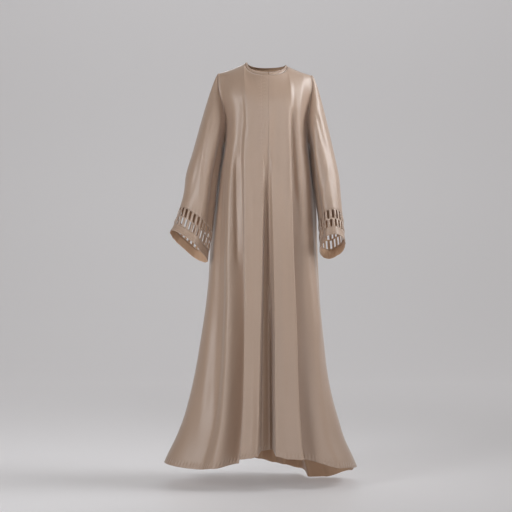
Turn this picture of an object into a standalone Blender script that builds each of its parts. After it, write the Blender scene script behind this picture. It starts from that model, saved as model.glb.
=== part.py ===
"""An open-front abaya in champagne satin, hollow as it is worn, with two rows of windows above each cuff.

Metres, +Z up, front towards -Y. The origin lies between the shoulders, at the middle of the neck opening.
"Right" and "left" are the wearer's: the wearer's right is towards -X.
"""

import math
from collections import namedtuple

import bpy
import numpy as np

MILLIMETRE = 0.001
PER_CENT = 0.01

# Driving dimensions
WALL = 0.0016
SEAM_GAP = 0.0003
SEAM_DRAW = 0.75 * SEAM_GAP
LAP_STEP = 0.0022
LAP_CELLS = 2
LEAST_MITRE_SHARE = 0.6
SECTION_POWER = 0.87

# Rows of the body panels
ARMHOLE_ROWS = 9
SKIRT_ROWS = 14
UNDERARM_Z = -0.30
YOKE_DROP = 0.13

# Armholes: the outer columns of the front bow forward, and those of the back bow backward
ARMHOLE_FORWARD = 0.016
ARMHOLE_BACKWARD = 0.050
BOW_START = 1.55
BOW_SHARE = 0.9
BOW_POWER = 0.8

# Sleeves. The cap bulges by CAP_REACH at the top, and by CAP_UNDER_REACH more at the underarm
CAP_ROWS = 4
SLEEVE_ROWS = 9
CUFF_ROWS = 2
CUFF_COLUMNS = 24
CAP_REACH = 0.022
CAP_UNDER_REACH = -0.012
CAP_FALL = 0.028
CAP_TURN_SHARE = 0.8
RING_STEPS = 360

# Cutwork: windows and strips are each half a pitch wide
WINDOWS_PER_ROW = 24
RAIL_SHARE = 0.05
MID_BAR_SHARE = 0.062

# Neck band
NECK_NOTCH = 0.0030
BAND_CROWN = 0.0012
NECK_RISE_POWER = 1.2

# Points closer than this lie on one seam
SEAM_POINT_STEP = 0.00005
SHORTEST_VECTOR = 1e-12

# Neckline and shoulder, one row for each line that runs round the neck
Neck = namedtuple("Neck", "half_width front back z_corner_right z_corner_left z_front z_back")
NECK_EDGE = Neck(0.0730, -0.0610, 0.0640, 0.0090, -0.0010, -0.0360, -0.0060)
NECK_SEAM = Neck(0.0815, -0.0700, 0.0720, 0.0050, -0.0058, -0.0480, -0.0140)

Tip = namedtuple("Tip", "x y z")
SHOULDER_TIP = {-1: Tip(-0.186, 0.006, -0.035), 1: Tip(0.179, 0.006, -0.0430)}
SHOULDER_DIP = 0.003

# Plain sections of the body, before any fold
Section = namedtuple("Section", "z right left front back")
SECTIONS = (
    Section(0.012, 0.194, 0.186, 0.046, 0.060),
    Section(-0.040, 0.186, 0.179, 0.070, 0.078),
    Section(-0.120, 0.172, 0.169, 0.098, 0.100),
    Section(-0.170, 0.162, 0.164, 0.108, 0.106),
    Section(-0.230, 0.155, 0.157, 0.114, 0.110),
    Section(-0.300, 0.157, 0.158, 0.119, 0.114),
    Section(-0.400, 0.173, 0.169, 0.127, 0.122),
    Section(-0.550, 0.190, 0.180, 0.143, 0.138),
    Section(-0.700, 0.207, 0.186, 0.158, 0.157),
    Section(-0.940, 0.234, 0.207, 0.178, 0.190),
    Section(-1.070, 0.254, 0.222, 0.186, 0.208),
    Section(-1.180, 0.273, 0.235, 0.191, 0.222),
    Section(-1.290, 0.298, 0.257, 0.196, 0.236),
    Section(-1.360, 0.318, 0.277, 0.199, 0.246),
    Section(-1.440, 0.350, 0.302, 0.203, 0.262),
    Section(-1.505, 0.382, 0.332, 0.207, 0.276),
    Section(-1.600, 0.420, 0.372, 0.211, 0.292),
)

# Folds, in order round the body from the right side seam across the front and back again.
# top: place along the top edge, 0 at the middle, 1 at the neck corner, 2 at the shoulder tip
# across: share of the half width, in per cent. inward: depth of the fold, in millimetres.
# These two have a value for each height
FOLD_HEIGHTS = (-0.17, -0.31, -0.45, -0.72, -1.05, -1.47)
Fold = namedtuple("Fold", "name top across inward hem_z cells")
FRONT_FOLDS = (
    Fold("side_right", -2.0, (-100, -100, -100, -100, -100, -100), (0, 0, 0, 0, 0, 0), -1.528, 2),
    Fold("gore_valley", -1.75, (-93, -91.5, -88, -80, -75, -66), (0, 3, 7, 12, 24, 32), -1.539, 2),
    Fold("gore_ridge", -1.5, (-78, -79, -75, -67, -58, -50), (0, 0, -1, -4, -6, -7), -1.529, 2),
    Fold("dart_valley", -1.25, (-57, -63, -56, -46, -36.5, -29.5), (3, 11, 17, 26, 40, 52), -1.515, 2),
    Fold("edge_right", -1.0, (-46, -50, -45, -38, -32, -26), (-1, -3, -5, -7, -8, -10), -1.492, 2),
    Fold("panel_right", -0.6, (-26, -28, -27, -22, -20, -16), (0, 0, 0, -1, -2, -3), -1.489, 2),
    Fold("lip_right", -0.22, (-10, -10, -7.5, -8, -9.5, -9.8), (0, 0, 0, 1, 3, 6), -1.485, 3),
    Fold("floor_right", -0.08, (-3, -3, -1.5, -4.4, -6, -5.6), (0, 0, 10, 32, 38, 40), -1.466, 2),
    Fold("centre", 0.067, (4.7, 4.5, 4, 2.4, 4.5, 3.6), (0, 1, 13, 40, 54, 62), -1.464, 1),
    Fold("floor_left", 0.14, (7.5, 7, 6.2, 8.8, 12, 9), (0, 0, 9, 30, 62, 76), -1.465, 3),
    Fold("lip_left", 0.28, (14, 13, 12, 14.8, 14.8, 11.2), (0, 0, 0, 1, 2, 5), -1.483, 2),
    Fold("panel_left", 0.62, (34, 36, 35, 33, 31, 26), (0, 0, 0, -1, -2, -3), -1.493, 2),
    Fold("edge_left", 1.0, (56, 55, 53, 53, 50.8, 41.8), (-1, -3, -5, -7, -8, -10), -1.495, 2),
    Fold("side_valley", 1.25, (65, 64, 60, 58, 55, 46), (3, 14, 24, 36, 44, 52), -1.501, 3),
    Fold("side_ridge", 1.625, (82, 84, 86, 87, 88, 82), (0, -1, -2, -3, -3, -3), -1.535, 3),
    Fold("side_left", 2.0, (100, 100, 100, 100, 100, 100), (0, 0, 0, 0, 0, 0), -1.545, 0),
)
BACK_FOLDS = (
    Fold("side_left", 2.0, (100, 100, 100, 100, 100, 100), (0, 0, 0, 0, 0, 0), -1.545, 1),
    Fold("seam_left", 1.875, (99, 98.6, 98.6, 98.5, 98, 97), (1, -4, -6, -8, -6, -4), -1.562, 1),
    Fold("wing_left", 1.75, (95, 94, 93, 93, 92, 90), (4, -20, -31, -29, -16, -8), -1.582, 2),
    Fold("tail_left", 1.5, (83, 81, 80, 79, 77, 73), (2, -4, -5, 9, 33, 54), -1.611, 1),
    Fold("deep_valley", 1.375, (74, 72, 70, 68, 65, 60), (0, 5, 14, 36, 72, 105), -1.609, 3),
    Fold("ridge_left", 1.0, (52, 51, 50, 46, 41, 36), (0, 0, -2, -4, -6, -8), -1.592, 2),
    Fold("valley_left", 0.66, (33, 33, 33, 30, 26, 23), (0, 3, 8, 16, 27, 40), -1.572, 2),
    Fold("ridge_mid", 0.3, (15, 15, 15, 13, 11, 9), (0, 0, -1, -3, -5, -8), -1.570, 2),
    Fold("valley_mid", -0.06, (-3, -3, -4, -5, -6, -6), (0, 3, 9, 18, 30, 44), -1.549, 2),
    Fold("ridge_right", -0.4, (-20, -21, -22, -22, -22, -22), (0, 0, -2, -4, -6, -9), -1.540, 2),
    Fold("valley_right", -0.72, (-37, -37, -38, -38, -38, -37), (0, 3, 8, 16, 27, 40), -1.546, 2),
    Fold("ridge_outer", -1.0, (-53, -53, -54, -54, -54, -52), (0, 0, -2, -4, -6, -9), -1.556, 3),
    Fold("side_valley", -1.375, (-75, -74, -74, -74, -73, -72), (0, 4, 12, 18, 28, 40), -1.560, 3),
    Fold("wing_right", -1.75, (-95, -94, -93, -93, -92, -90), (4, -20, -31, -25, -9, -4), -1.552, 1),
    Fold("seam_right", -1.875, (-99, -98.6, -98.6, -98.5, -98, -97), (1, -4, -6, -6, -3, -2), -1.541, 1),
    Fold("side_right", -2.0, (-100, -100, -100, -100, -100, -100), (0, 0, 0, 0, 0, 0), -1.528, 0),
)

# Rings of the sleeves. lean lifts the outer side, forward lifts the front side, both in degrees
Ring = namedtuple("Ring", "name x y z half_width half_depth lean forward")
RIGHT_RINGS = (
    Ring("upper_arm", -0.2260, 0.002, -0.345, 0.0580, 0.086, 4.0, 0.0),
    Ring("elbow", -0.2465, -0.006, -0.440, 0.0635, 0.080, 16.0, 5.0),
    Ring("forearm", -0.2560, -0.014, -0.525, 0.0680, 0.074, 28.0, 10.0),
    Ring("cutwork_top", -0.2680, -0.030, -0.598, 0.0770, 0.066, 36.0, 20.0),
    Ring("cuff_top", -0.2860, -0.050, -0.671, 0.0835, 0.060, 36.0, 26.0),
    Ring("cuff_edge", -0.2950, -0.062, -0.701, 0.0900, 0.060, 37.0, 28.0),
)
LEFT_RINGS = (
    Ring("upper_arm", 0.2145, 0.002, -0.345, 0.0475, 0.089, 2.0, 0.0),
    Ring("elbow", 0.2285, -0.008, -0.440, 0.0520, 0.091, 4.0, 8.0),
    Ring("forearm", 0.2380, -0.020, -0.520, 0.0490, 0.092, 6.0, 16.0),
    Ring("cutwork_top", 0.2460, -0.032, -0.596, 0.0470, 0.092, 8.0, 24.0),
    Ring("cuff_top", 0.2510, -0.048, -0.670, 0.0480, 0.091, 9.0, 28.0),
    Ring("cuff_edge", 0.2520, -0.056, -0.702, 0.0500, 0.092, 9.0, 30.0),
)

# Folds along the sleeves: angle round the ring from the inner side by way of the front, in degrees
SleeveFold = namedtuple("SleeveFold", "name angle_top angle_bottom outward_top outward_bottom width")
RIGHT_SLEEVE_FOLDS = (
    SleeveFold("front_ridge", 66.0, 74.0, 0.007, 0.006, 14.0),
    SleeveFold("inner_valley", 36.0, 40.0, -0.013, -0.010, 18.0),
    SleeveFold("back_valley", 242.0, 250.0, -0.008, -0.006, 20.0),
    SleeveFold("back_ridge", 280.0, 286.0, 0.005, 0.004, 18.0),
)
LEFT_SLEEVE_FOLDS = (
    SleeveFold("front_ridge", 58.0, 62.0, 0.006, 0.006, 14.0),
    SleeveFold("inner_valley", 28.0, 30.0, -0.010, -0.009, 18.0),
    SleeveFold("elbow_facet", 112.0, 128.0, -0.004, -0.002, 16.0),
    SleeveFold("back_valley", 236.0, 246.0, -0.008, -0.006, 20.0),
)

Finish = namedtuple("Finish", "colour roughness")
SATIN = Finish((0.45, 0.320, 0.240, 1.0), 0.40)
CUTWORK = Finish((0.43, 0.305, 0.230, 1.0), 0.42)
BINDING = Finish((0.44, 0.313, 0.236, 1.0), 0.42)

# One column of a body panel: where it starts on the top edge, and its fold's shares and metres at each height
Column = namedtuple("Column", "top across inward hem_z")
Grid = namedtuple("Grid", "points closed open_cells")


def smooth(share):
    return share * share * (3.0 - 2.0 * share)


def mix(a, b, share):
    return a + (b - a) * share


def curve_value(places, values, place):
    """A smooth curve through the values, whose slopes come from their neighbours. Places run downwards."""
    x = -np.asarray(places, float)
    y = np.asarray(values, float)
    slopes = np.gradient(y, x)
    at = min(max(-place, x[0]), x[-1])
    i = min(int(np.searchsorted(x, at, side="right")) - 1, len(x) - 2)
    step = x[i + 1] - x[i]
    w = (at - x[i]) / step
    return (
        (2 * w**3 - 3 * w**2 + 1) * y[i]
        + (w**3 - 2 * w**2 + w) * step * slopes[i]
        + (3 * w**2 - 2 * w**3) * y[i + 1]
        + (w**3 - w**2) * step * slopes[i + 1]
    )


def section_at(z):
    heights = [row.z for row in SECTIONS]
    tables = ([getattr(row, part) for row in SECTIONS] for part in Section._fields[1:])
    return Section(z, *(curve_value(heights, table, z) for table in tables))


def neck_point(line, top, is_front):
    """A point of a line round the neck, top from -1 at its right corner to 1 at its left one."""
    turn = top * math.pi / 2
    rise = (1 - math.cos(turn)) ** NECK_RISE_POWER
    z_corner = line.z_corner_left if top > 0 else line.z_corner_right
    z_middle = line.z_front if is_front else line.z_back
    middle = line.front if is_front else line.back
    return np.array([
        line.half_width * math.sin(turn),
        SHOULDER_TIP[1].y + (middle - SHOULDER_TIP[1].y) * math.cos(turn),
        mix(z_middle, z_corner, rise),
    ])


def top_point(top, is_front):
    """A point of a panel's top edge: the neck seam, then the shoulder seam out to the tip."""
    if abs(top) <= 1:
        return neck_point(NECK_SEAM, top, is_front)
    side = 1 if top > 0 else -1
    corner = neck_point(NECK_SEAM, side, is_front)
    share = abs(top) - 1
    point = mix(corner, np.array(SHOULDER_TIP[side]), share)
    point[2] -= SHOULDER_DIP * math.sin(math.pi * share)
    return point


def section_point(across, inward, z, is_front):
    """A point of the body at this height: its share across the plain section, then moved in by the fold."""
    section = section_at(z)
    half_width = section.left if across > 0 else section.right
    depth = -section.front if is_front else section.back
    turn = math.asin(min(abs(across), 1.0) ** (1 / SECTION_POWER))
    x = math.copysign(half_width * math.sin(turn) ** SECTION_POWER, across)
    y = depth * max(math.cos(turn), 0.0) ** SECTION_POWER
    away = np.array([x / half_width**2, y / depth**2])
    away /= np.linalg.norm(away)
    return np.array([x, y]) - inward * away


def columns_of(folds):
    """The columns of a panel: each fold's own, and the cells up to the next fold between them."""
    columns = []
    for here, there in zip(folds, folds[1:]):
        for step in range(here.cells):
            share = step / here.cells
            turn_share = smooth(share)
            columns.append(Column(
                mix(here.top, there.top, share),
                tuple(between_turns(a, b, share) for a, b in zip(here.across, there.across)),
                tuple(MILLIMETRE * mix(a, b, turn_share) for a, b in zip(here.inward, there.inward)),
                mix(here.hem_z, there.hem_z, turn_share),
            ))
    last = folds[-1]
    columns.append(Column(
        last.top,
        tuple(PER_CENT * value for value in last.across),
        tuple(MILLIMETRE * value for value in last.inward),
        last.hem_z,
    ))
    return columns


def between_turns(a, b, share):
    """A share between two of the table's, even in angle, so that the sides get their columns."""
    turn = mix(math.asin(PER_CENT * a), math.asin(PER_CENT * b), share)
    return math.sin(turn)


def column_height(column, is_front, row):
    """Rows run level at the underarm, and follow the top edge above it and the hem below it."""
    if row <= ARMHOLE_ROWS:
        return mix(top_point(column.top, is_front)[2], UNDERARM_Z, row / ARMHOLE_ROWS)
    return mix(UNDERARM_Z, column.hem_z, (row - ARMHOLE_ROWS) / SKIRT_ROWS)


def body_point(column, is_front, row):
    top = top_point(column.top, is_front)
    z = column_height(column, is_front, row)
    across = float(curve_value(FOLD_HEIGHTS, column.across, z))
    inward = float(curve_value(FOLD_HEIGHTS, column.inward, z))
    drop = min(max((top[2] - z) / YOKE_DROP, 0.0), 1.0)
    x, y = section_point(max(-1.0, min(1.0, across)), inward * smooth(drop), z, is_front)
    x = mix(top[0], x, smooth(drop))
    y = mix(top[1], y, math.sqrt(1 - (1 - drop) ** 2))
    reach = max(0.0, (abs(column.top) - BOW_START) / (2 - BOW_START))
    tip = SHOULDER_TIP[1 if column.top > 0 else -1]
    down = (tip.z - z) / (tip.z - UNDERARM_Z)
    if reach > 0 and 0 < down < 1:
        bow = math.sin(math.pi * down) ** BOW_POWER * smooth(reach)
        y = mix(y, -ARMHOLE_FORWARD if is_front else ARMHOLE_BACKWARD, bow * BOW_SHARE)
    return np.array([x, y, z])


def panel_points(folds, is_front):
    columns = columns_of(folds)
    rows = range(ARMHOLE_ROWS + SKIRT_ROWS + 1)
    return np.array([[body_point(column, is_front, row) for column in columns] for row in rows])


def column_index(folds, name):
    """How many columns lie before the named fold."""
    names = [fold.name for fold in folds]
    return sum(fold.cells for fold in folds[: names.index(name)])


def neck_strip():
    """Seam and edge points round the neck, from the front opening by the left, the back and the right."""
    front = columns_of(FRONT_FOLDS)
    back = columns_of(BACK_FOLDS)
    centre = column_index(FRONT_FOLDS, "centre")
    run = [(column.top, True) for column in front[centre:] if column.top <= 1]
    run += [(column.top, False) for column in back if abs(column.top) < 1]
    run += [(column.top, True) for column in front[: centre + 1] if column.top >= -1]
    lines = (NECK_EDGE, NECK_SEAM)
    points = np.array([[neck_point(line, top, is_front) for top, is_front in run] for line in lines])
    middle = mix(points[0], points[1], 0.5)
    middle[:, 2] += BAND_CROWN
    strip = np.stack([points[0], middle, points[1]])
    strip[:, 0] += unit(strip[:, 1] - strip[:, 0]) * NECK_NOTCH / 2
    strip[:, -1] += unit(strip[:, -2] - strip[:, -1]) * NECK_NOTCH / 2
    return strip


def ring_at(rings, place):
    """The ring at a place along the sleeve, where whole numbers are the table's own rings."""
    numbers = -np.arange(len(rings), dtype=float)
    tables = ([getattr(ring, part) for ring in rings] for part in Ring._fields[1:])
    return Ring("between", *(float(curve_value(numbers, table, -place)) for table in tables))


def ring_point(ring, side, angle, outward):
    """A point of a ring. The angle starts at the inner side and runs by way of the front."""
    lean = math.radians(ring.lean)
    forward = math.radians(ring.forward)
    inner = np.array([-side * math.cos(lean), 0.0, -math.sin(lean)])
    backward = np.array([0.0, math.cos(forward), -math.sin(forward)])
    return (
        np.array([ring.x, ring.y, ring.z])
        + inner * (ring.half_width + outward) * math.cos(angle)
        - backward * (ring.half_depth + outward) * math.sin(angle)
    )


def fold_outward(folds, angle, place, last):
    """How far the sleeve's folds move a point out, at an angle and a place along the sleeve."""
    total = 0.0
    share = place / last
    for fold in folds:
        centre = mix(fold.angle_top, fold.angle_bottom, share)
        away = (math.degrees(angle) - centre + 180.0) % 360.0 - 180.0
        total += mix(fold.outward_top, fold.outward_bottom, share) * math.exp(-((away / fold.width) ** 2))
    return total


def sleeve_ring(rings, folds, side, place, angles):
    ring = ring_at(rings, place)
    last = len(rings) - 1
    return np.array([ring_point(ring, side, a, fold_outward(folds, a, place, last)) for a in angles])


def even_angles(rings, folds, side, place, shares):
    """Angles that split the ring at this place into the given shares of its length."""
    fine = np.linspace(0.0, 2 * math.pi, RING_STEPS + 1)
    points = sleeve_ring(rings, folds, side, place, fine)
    steps = np.linalg.norm(np.diff(points, axis=0), axis=1)
    along = np.concatenate([[0.0], np.cumsum(steps)])
    return np.interp(np.asarray(shares) * along[-1], along, fine)


def turned(points, side):
    """Columns in the same sense on both sleeves, so that the same side of each wall faces out."""
    return points if side > 0 else points[:, ::-1]


def sleeve_points(rings, folds, side, front, back):
    """The sleeve from its armhole to the cutwork. front and back are the panels' edges, tip to underarm."""
    armhole = np.concatenate([front[::-1], back[1:]])
    count = len(armhole)
    shares = np.linspace(0.0, 1.0, count)
    angles = even_angles(rings, folds, side, 0.0, shares)
    upper = sleeve_ring(rings, folds, side, 0.0, angles)
    rows = []
    for step in range(CAP_ROWS):
        share = step / CAP_ROWS
        row = []
        for index in range(count):
            start, end = armhole[index], upper[index]
            low = abs(index - (count - 1) / 2) / ((count - 1) / 2)
            guide = np.array([
                start[0] + side * (CAP_REACH + CAP_UNDER_REACH * low),
                mix(start[1], end[1], CAP_TURN_SHARE),
                start[2] - CAP_FALL * (1 - low),
            ])
            row.append((1 - share) ** 2 * start + 2 * share * (1 - share) * guide + share**2 * end)
        rows.append(row)
    cutwork = [ring.name for ring in rings].index("cutwork_top")
    for step in range(SLEEVE_ROWS + 1):
        place = cutwork * step / SLEEVE_ROWS
        angles = even_angles(rings, folds, side, place, shares)
        rows.append(sleeve_ring(rings, folds, side, place, angles))
    return turned(np.array(rows), side)


def cutwork_half(rings, folds, side, first_half):
    """Half of the band of windows. Its end cells are half as wide, so that the pattern runs on."""
    cells = WINDOWS_PER_ROW
    edges = np.concatenate([[0.0], np.arange(cells) + 0.5, [cells]]) / (2 * cells)
    shares = edges if first_half else edges + 0.5
    window_share = (1 - 2 * RAIL_SHARE - MID_BAR_SHARE) / 2
    heights = np.cumsum([0.0, RAIL_SHARE, window_share, MID_BAR_SHARE, window_share, RAIL_SHARE])
    names = [ring.name for ring in rings]
    place = names.index("cutwork_top")
    upper = sleeve_ring(rings, folds, side, place, even_angles(rings, folds, side, place, shares))
    lower = sleeve_ring(rings, folds, side, place + 1, even_angles(rings, folds, side, place + 1, shares))
    points = np.array([mix(upper, lower, height) for height in heights])
    columns = len(shares) - 1
    open_cells = {(1, column) for column in range(1, columns, 2)}
    open_cells |= {(3, column) for column in range(0, columns, 2)}
    if side < 0:
        open_cells = {(row, columns - 1 - column) for row, column in open_cells}
    return Grid(turned(points, side), False, open_cells)


def cuff_points(rings, folds, side):
    shares = np.linspace(0.0, 1.0, CUFF_COLUMNS + 1)
    first = [ring.name for ring in rings].index("cuff_top")
    rows = []
    for step in range(CUFF_ROWS + 1):
        place = first + step / CUFF_ROWS
        rows.append(sleeve_ring(rings, folds, side, place, even_angles(rings, folds, side, place, shares)))
    return turned(np.array(rows), side)


def unit(vectors):
    return vectors / np.maximum(np.linalg.norm(vectors, axis=-1, keepdims=True), SHORTEST_VECTOR)


def grid_normals(grid):
    """Area-weighted normals at the points, outwards. A closed grid repeats its first column as its last."""
    p = grid.points
    faces = np.cross(p[1:, 1:] - p[:-1, :-1], p[:-1, 1:] - p[1:, :-1])
    normals = np.zeros_like(p)
    for rows in (slice(None, -1), slice(1, None)):
        for columns in (slice(None, -1), slice(1, None)):
            normals[rows, columns] += faces
    return normals


def point_key(point):
    return tuple(int(value) for value in np.round(point / SEAM_POINT_STEP))


def shared_normals(grids):
    """Normals that neighbours share along their seams, so that their walls meet in one mitre.

    Where two walls meet at an angle the shared normal is longer, so that the wall keeps its thickness there.
    """
    own = {name: unit(grid_normals(grid)).reshape(-1, 3) for name, grid in grids.items()}
    keys = {
        name: [point_key(point) for point in grid.points.reshape(-1, 3)]
        for name, grid in grids.items()
    }
    total = {}
    for name in grids:
        for key, normal in zip(keys[name], own[name]):
            total.setdefault(key, []).append(normal)
    shared = {}
    for key, normals in total.items():
        direction = unit(np.sum(normals, axis=0))
        leans = np.mean([abs(float(direction @ normal)) for normal in normals])
        shared[key] = direction / max(leans, LEAST_MITRE_SHARE)
    return {
        name: np.array([shared[key] for key in keys[name]]).reshape(grids[name].points.shape)
        for name in grids
    }


def parted(points, closed):
    """The points with their outer rows and columns drawn in, to leave the gap between pieces."""
    result = points.copy()
    result[0] += unit(points[1] - points[0]) * SEAM_DRAW
    result[-1] += unit(points[-2] - points[-1]) * SEAM_DRAW
    if not closed:
        result[:, 0] += unit(points[:, 1] - points[:, 0]) * SEAM_DRAW
        result[:, -1] += unit(points[:, -2] - points[:, -1]) * SEAM_DRAW
    return result


def rim_faces(a, b, below, outside):
    """Two triangles of a wall's edge, split the same way on both sides of a seam."""
    order = np.array([1.0, 2.0, 3.0])
    if outside[a] @ order < outside[b] @ order:
        return [(b, a, below + b), (a, below + a, below + b)]
    return [(b, a, below + a), (b, below + a, below + b)]


def wall_mesh(name, grid, normals):
    """A closed wall between a grid of outer points and the same points moved in, with its openings cut."""
    outer = parted(grid.points, grid.closed)
    inner = parted(grid.points - normals * WALL, grid.closed)
    rows, columns = outer.shape[:2]
    used_columns = columns - 1 if grid.closed else columns
    outside = outer[:, :used_columns].reshape(-1, 3)
    inside = inner[:, :used_columns].reshape(-1, 3)
    vertices = np.concatenate([outside, inside])
    below = len(outside)

    def index(row, column):
        return row * used_columns + column % used_columns

    cells = [
        (row, column)
        for row in range(rows - 1)
        for column in range(columns - 1)
        if (row, column) not in grid.open_cells
    ]
    faces = []
    edges = {}
    for row, column in cells:
        loop = (
            index(row, column),
            index(row + 1, column),
            index(row + 1, column + 1),
            index(row, column + 1),
        )
        faces.append(loop)
        faces.append(tuple(below + corner for corner in reversed(loop)))
        for a, b in zip(loop, loop[1:] + loop[:1]):
            edges[(a, b)] = True
    for a, b in edges:
        if (b, a) not in edges:
            faces.extend(rim_faces(a, b, below, outside))
    used = sorted({corner for face in faces for corner in face})
    number = {old: new for new, old in enumerate(used)}
    mesh = bpy.data.meshes.new(name)
    mesh.from_pydata(
        [tuple(vertices[old]) for old in used],
        [],
        [tuple(number[corner] for corner in face) for face in faces],
    )
    mesh.validate()
    mesh.update()
    return mesh


def lapped_left_front(points, normals, centre):
    """The left front reaches under the right one: its first columns are the right one's points moved in."""
    first = centre - LAP_CELLS
    under = points[:, first:].copy()
    under[:, : LAP_CELLS + 1] -= normals[:, first : centre + 1] * LAP_STEP
    return under


def all_grids():
    """Every piece as a grid of outer points."""
    whole_front = panel_points(FRONT_FOLDS, True)
    back = panel_points(BACK_FOLDS, False)
    centre = column_index(FRONT_FOLDS, "centre")
    edge = slice(0, ARMHOLE_ROWS + 1)
    grids = {
        "front_whole": Grid(whole_front, False, set()),
        "back": Grid(back, False, set()),
        "neck_band": Grid(neck_strip(), False, set()),
    }
    for name, side, rings, folds in (
        ("right", -1, RIGHT_RINGS, RIGHT_SLEEVE_FOLDS),
        ("left", 1, LEFT_RINGS, LEFT_SLEEVE_FOLDS),
    ):
        front_edge = whole_front[edge, 0 if side < 0 else -1]
        back_edge = back[edge, -1 if side < 0 else 0]
        sleeve = sleeve_points(rings, folds, side, front_edge, back_edge)
        grids[f"sleeve_{name}"] = Grid(sleeve, True, set())
        grids[f"cutwork_{name}_front"] = cutwork_half(rings, folds, side, True)
        grids[f"cutwork_{name}_back"] = cutwork_half(rings, folds, side, False)
        grids[f"cuff_{name}"] = Grid(cuff_points(rings, folds, side), True, set())
    normals = shared_normals(grids)
    whole_normals = normals.pop("front_whole")
    grids.pop("front_whole")
    grids["front_right"] = Grid(whole_front[:, : centre + 1], False, set())
    normals["front_right"] = whole_normals[:, : centre + 1]
    grids["front_left"] = Grid(lapped_left_front(whole_front, whole_normals, centre), False, set())
    normals["front_left"] = whole_normals[:, centre - LAP_CELLS :]
    return grids, normals


def material_of(name, finish):
    material = bpy.data.materials.new(name)
    material.use_nodes = True
    shader = material.node_tree.nodes["Principled BSDF"]
    shader.inputs["Base Color"].default_value = finish.colour
    shader.inputs["Roughness"].default_value = finish.roughness
    shader.inputs["Metallic"].default_value = 0.0
    material.diffuse_color = finish.colour
    return material


def finish_of(name):
    if name.startswith("cutwork"):
        return CUTWORK
    return BINDING if name == "neck_band" else SATIN


def main():
    for obj in list(bpy.data.objects):
        bpy.data.objects.remove(obj, do_unlink=True)
    collection = bpy.data.collections.new("abaya")
    bpy.context.scene.collection.children.link(collection)
    grids, normals = all_grids()
    for name, grid in grids.items():
        mesh = wall_mesh(name, grid, normals[name])
        mesh.materials.append(material_of(name, finish_of(name)))
        mesh.shade_smooth()
        collection.objects.link(bpy.data.objects.new(name, mesh))


main()
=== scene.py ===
"""The abaya's looks: thin satin shells with their creases, hems and stitches, in a pale studio.

Metres, +Z up, front towards -Y. "Right" and "left" are the wearer's: the wearer's right is towards -X.
"""
import math
from collections import namedtuple

import bpy
import numpy as np
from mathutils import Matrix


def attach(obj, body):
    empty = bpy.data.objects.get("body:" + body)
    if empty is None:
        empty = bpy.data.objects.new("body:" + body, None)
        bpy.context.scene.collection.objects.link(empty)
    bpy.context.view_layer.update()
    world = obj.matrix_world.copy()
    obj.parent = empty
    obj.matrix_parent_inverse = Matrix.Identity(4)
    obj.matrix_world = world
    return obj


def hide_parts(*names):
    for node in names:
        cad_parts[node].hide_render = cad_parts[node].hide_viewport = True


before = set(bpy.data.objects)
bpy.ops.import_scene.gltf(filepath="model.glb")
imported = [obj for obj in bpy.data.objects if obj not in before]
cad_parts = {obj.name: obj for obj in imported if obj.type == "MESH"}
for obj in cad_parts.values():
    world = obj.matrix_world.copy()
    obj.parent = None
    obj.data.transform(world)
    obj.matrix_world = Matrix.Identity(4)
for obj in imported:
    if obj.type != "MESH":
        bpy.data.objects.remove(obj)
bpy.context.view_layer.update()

MILLIMETRE = 0.001
PER_CENT = 0.01
SHORTEST_VECTOR = 1e-12

# Thickness of what shows, and how finely the panels are drawn: so many rows and columns for each one of
# the solids. The hem's own rows start HEM_SHARE of a skirt row above it
CLOTH = 0.0009
SEAM_DRAW = 0.0002
LAP_STEP = 0.0022
LAP_CELLS = 2
ROW_DENSITY = 6
FRONT_DENSITY = 8
BACK_DENSITY = 10
HEM_ROWS = 14
HEM_SHARE = 0.5

# The form of the body, as it is cut and worn
SECTION_POWER = 0.87
ARMHOLE_ROWS = 9
SKIRT_ROWS = 14
UNDERARM_Z = -0.30
YOKE_DROP = 0.13
ARMHOLE_FORWARD = 0.016
ARMHOLE_BACKWARD = 0.050
BOW_START = 1.55
BOW_SHARE = 0.9
BOW_POWER = 0.8

# The form of the sleeves. The cap bulges by CAP_REACH at the top, and CAP_UNDER_REACH more at the underarm
CAP_ROWS = 4
SLEEVE_ROWS = 9
CAP_REACH = 0.022
CAP_UNDER_REACH = -0.012
CAP_FALL = 0.028
CAP_TURN_SHARE = 0.8
RING_STEPS = 360

# Cutwork: windows and strips are each one cell wide, and a strip puffs out between its two ends
WINDOWS_PER_ROW = 24
RAIL_SHARE = 0.05
MID_BAR_SHARE = 0.062
CELL_COLUMNS = 6
CELL_ROWS = 8
RAIL_ROWS = 2
STRIP_PUFF = 0.0022
STRIP_SWELL = 0.16

# Cuffs: ripples round the edge, which are higher and lower by turns
CUFF_COLUMNS = 96
CUFF_ROWS = 10
CUFF_RIPPLE = 0.0014
CUFF_RIPPLES = 17
RIPPLE_EVEN_SHARE = 0.6
RIPPLE_SWELLS = 3

# Neck band and the loop at its opening
NECK_NOTCH = 0.0030
BAND_COLUMNS = 60
BAND_ROWS = 6
BAND_CROWN = 0.0012
NECK_RISE_POWER = 1.2
LOOP_REACH = 0.0060
LOOP_RISE = 0.0016
LOOP_SPACING = 0.0009
LOOP_THREAD = 0.0004
LOOP_POINTS = 9
LOOP_BEVEL = 3

Neck = namedtuple("Neck", "half_width front back z_corner_right z_corner_left z_front z_back")
NECK_EDGE = Neck(0.0730, -0.0610, 0.0640, 0.0090, -0.0010, -0.0360, -0.0060)
NECK_SEAM = Neck(0.0815, -0.0700, 0.0720, 0.0050, -0.0058, -0.0480, -0.0140)

Tip = namedtuple("Tip", "x y z")
SHOULDER_DIP = 0.003
SHOULDER_TIP = {-1: Tip(-0.186, 0.006, -0.035), 1: Tip(0.179, 0.006, -0.0430)}

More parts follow.
